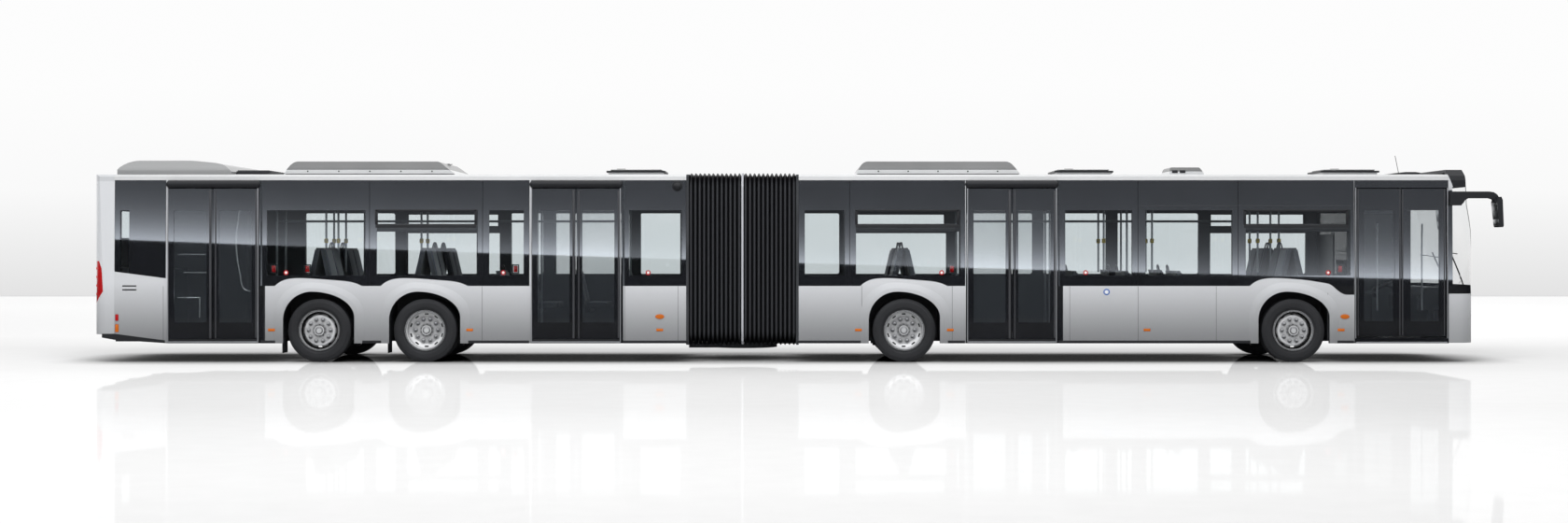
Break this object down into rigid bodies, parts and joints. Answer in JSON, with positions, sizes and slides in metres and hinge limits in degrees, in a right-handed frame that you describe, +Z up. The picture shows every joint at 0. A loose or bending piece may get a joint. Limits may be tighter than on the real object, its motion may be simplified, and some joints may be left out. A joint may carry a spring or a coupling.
{
  "type": "articulated bus",
  "caption": "Long low-floor articulated city bus with folding bellows, turning hoop, steered end axles, twin middle wheels, swinging front door, roof hatches and rear engine lid.",
  "frame": {"origin": "on the ground under the middle of the whole bus, mirrors included", "axes": "+X forward along the bus, +Y to its left side, +Z up"},
  "size_m": [21.315, 2.83, 3.067],
  "materials": {
    "silver_paint": "metallic",
    "black_trim": "matte",
    "tinted_glass": "tinted",
    "roof_paint": "satin",
    "tyre_rubber": "matte",
    "alloy": "polished",
    "chassis_black": "satin",
    "bellows_rubber": "matte",
    "seat_fabric": "woven",
    "rail_paint": "gloss",
    "lamp_lens": "clear",
    "red_lens": "clear",
    "floor_covering": "speckled",
    "engine_iron": "cast"
  },
  "bodies": {
    "front_car": {"front_floor": "floor_covering", "front_side_right": "silver_paint", "front_side_left": "silver_paint", "front_roof": "roof_paint", "front_mask": "silver_paint", "windscreen": "tinted_glass", "front_glass": "tinted_glass", "front_roof_housings": "roof_paint", "headlamps": "lamp_lens", "front_seats": "seat_fabric", "front_rails": "rail_paint", "driver_station": "black_trim", "door_2": "black_trim", "mirrors": "black_trim", "front_axle": "chassis_black", "second_axle": "chassis_black", "bellows": "bellows_rubber"},
    "rear_car": {"rear_floor": "floor_covering", "rear_side_right": "silver_paint", "rear_side_left": "silver_paint", "rear_roof": "roof_paint", "rear_end": "silver_paint", "rear_glass": "tinted_glass", "rear_roof_housings": "roof_paint", "rear_seats": "seat_fabric", "rear_rails": "rail_paint", "rear_doors": "black_trim", "engine": "engine_iron", "tail_lamps": "red_lens", "third_axle": "chassis_black", "fourth_axle": "chassis_black"},
    "centre_hoop": {"centre_hoop": "black_trim"},
    "front_left_knuckle": {"front_left_knuckle": "chassis_black"},
    "front_right_knuckle": {"front_right_knuckle": "chassis_black"},
    "fourth_left_knuckle": {"fourth_left_knuckle": "chassis_black"},
    "fourth_right_knuckle": {"fourth_right_knuckle": "chassis_black"},
    "front_left_wheel": {"front_left_rim": "alloy", "front_left_tyre": "tyre_rubber"},
    "front_right_wheel": {"front_right_rim": "alloy", "front_right_tyre": "tyre_rubber"},
    "second_left_wheels": {"second_left_rim": "alloy", "second_left_tyres": "tyre_rubber"},
    "second_right_wheels": {"second_right_rim": "alloy", "second_right_tyres": "tyre_rubber"},
    "third_left_wheels": {"third_left_rim": "alloy", "third_left_tyres": "tyre_rubber"},
    "third_right_wheels": {"third_right_rim": "alloy", "third_right_tyres": "tyre_rubber"},
    "fourth_left_wheel": {"fourth_left_rim": "alloy", "fourth_left_tyre": "tyre_rubber"},
    "fourth_right_wheel": {"fourth_right_rim": "alloy", "fourth_right_tyre": "tyre_rubber"},
    "door_1_front_post": {"door_1_front_post": "black_trim"},
    "door_1_front_leaf": {"door_1_front_leaf": "black_trim"},
    "door_1_rear_post": {"door_1_rear_post": "black_trim"},
    "door_1_rear_leaf": {"door_1_rear_leaf": "black_trim"},
    "roof_hatch_1": {"roof_hatch_1": "roof_paint"},
    "roof_hatch_2": {"roof_hatch_2": "roof_paint"},
    "roof_hatch_3": {"roof_hatch_3": "roof_paint"},
    "engine_lid": {"engine_lid": "silver_paint"}
  },
  "joints": [
    {"name": "articulation", "type": "hinge", "parent": "front_car", "child": "rear_car", "pos_m": [-0.8205, 0, 0.238], "axis": [0, 0, 1], "range_deg": [-47, 47], "deforming": ["bellows"]},
    {"name": "hoop_turn", "type": "hinge", "parent": "front_car", "child": "centre_hoop", "pos_m": [-0.8205, 0, 0.3], "axis": [0, 0, 1], "range_deg": [-24, 24]},
    {"name": "front_left_steer", "type": "hinge", "parent": "front_car", "child": "front_left_knuckle", "pos_m": [7.5325, 0.905, 0.478], "axis": [0, 0, 1], "range_deg": [-45, 45]},
    {"name": "front_right_steer", "type": "hinge", "parent": "front_car", "child": "front_right_knuckle", "pos_m": [7.5325, -0.905, 0.478], "axis": [0, 0, 1], "range_deg": [-45, 45]},
    {"name": "fourth_left_steer", "type": "hinge", "parent": "rear_car", "child": "fourth_left_knuckle", "pos_m": [-7.2375, 0.905, 0.478], "axis": [0, 0, 1], "range_deg": [-15, 15]},
    {"name": "fourth_right_steer", "type": "hinge", "parent": "rear_car", "child": "fourth_right_knuckle", "pos_m": [-7.2375, -0.905, 0.478], "axis": [0, 0, 1], "range_deg": [-15, 15]},
    {"name": "front_left_roll", "type": "hinge", "parent": "front_left_knuckle", "child": "front_left_wheel", "pos_m": [7.5325, 1.102, 0.478], "axis": [0, 1, 0], "continuous": true},
    {"name": "front_right_roll", "type": "hinge", "parent": "front_right_knuckle", "child": "front_right_wheel", "pos_m": [7.5325, -1.102, 0.478], "axis": [0, 1, 0], "continuous": true},
    {"name": "second_left_roll", "type": "hinge", "parent": "front_car", "child": "second_left_wheels", "pos_m": [1.6325, 0.943, 0.478], "axis": [0, 1, 0], "continuous": true},
    {"name": "second_right_roll", "type": "hinge", "parent": "front_car", "child": "second_right_wheels", "pos_m": [1.6325, -0.943, 0.478], "axis": [0, 1, 0], "continuous": true},
    {"name": "third_left_roll", "type": "hinge", "parent": "rear_car", "child": "third_left_wheels", "pos_m": [-5.6325, 0.943, 0.478], "axis": [0, 1, 0], "continuous": true},
    {"name": "third_right_roll", "type": "hinge", "parent": "rear_car", "child": "third_right_wheels", "pos_m": [-5.6325, -0.943, 0.478], "axis": [0, 1, 0], "continuous": true},
    {"name": "fourth_left_roll", "type": "hinge", "parent": "fourth_left_knuckle", "child": "fourth_left_wheel", "pos_m": [-7.2375, 1.102, 0.478], "axis": [0, 1, 0], "continuous": true},
    {"name": "fourth_right_roll", "type": "hinge", "parent": "fourth_right_knuckle", "child": "fourth_right_wheel", "pos_m": [-7.2375, -1.102, 0.478], "axis": [0, 1, 0], "continuous": true},
    {"name": "door_1_front_arm", "type": "hinge", "parent": "front_car", "child": "door_1_front_post", "pos_m": [9.8805, -1.15, 0.37], "axis": [0, 0, -1], "range_deg": [0, 86]},
    {"name": "door_1_front_fold", "type": "hinge", "parent": "door_1_front_post", "child": "door_1_front_leaf", "pos_m": [9.505, -1.15, 0.37], "axis": [0, 0, -1], "range_deg": [-172, 0]},
    {"name": "door_1_rear_arm", "type": "hinge", "parent": "front_car", "child": "door_1_rear_post", "pos_m": [8.4485, -1.15, 0.37], "axis": [0, 0, 1], "range_deg": [0, 86]},
    {"name": "door_1_rear_fold", "type": "hinge", "parent": "door_1_rear_post", "child": "door_1_rear_leaf", "pos_m": [8.824, -1.15, 0.37], "axis": [0, 0, 1], "range_deg": [-172, 0]},
    {"name": "roof_hatch_1_tilt", "type": "hinge", "parent": "front_car", "child": "roof_hatch_1", "pos_m": [9.0915, 0, 2.9063], "axis": [0, 1, 0], "range_deg": [0, 20]},
    {"name": "roof_hatch_2_tilt", "type": "hinge", "parent": "front_car", "child": "roof_hatch_2", "pos_m": [4.9435, 0, 2.9063], "axis": [0, 1, 0], "range_deg": [0, 20]},
    {"name": "roof_hatch_3_tilt", "type": "hinge", "parent": "rear_car", "child": "roof_hatch_3", "pos_m": [-2.0415, 0, 2.9063], "axis": [0, 1, 0], "range_deg": [0, 20]},
    {"name": "engine_lid_lift", "type": "hinge", "parent": "rear_car", "child": "engine_lid", "pos_m": [-10.6518, 0, 1.366], "axis": [0, 1, 0], "range_deg": [0, 80]}
  ],
  "couplings": [
    {"joint": "hoop_turn", "follows": "articulation", "ratio": 0.5},
    {"joint": "front_right_steer", "follows": "front_left_steer", "ratio": 1},
    {"joint": "fourth_right_steer", "follows": "fourth_left_steer", "ratio": 1},
    {"joint": "door_1_front_fold", "follows": "door_1_front_arm", "ratio": -2},
    {"joint": "door_1_rear_fold", "follows": "door_1_rear_arm", "ratio": -2}
  ]
}
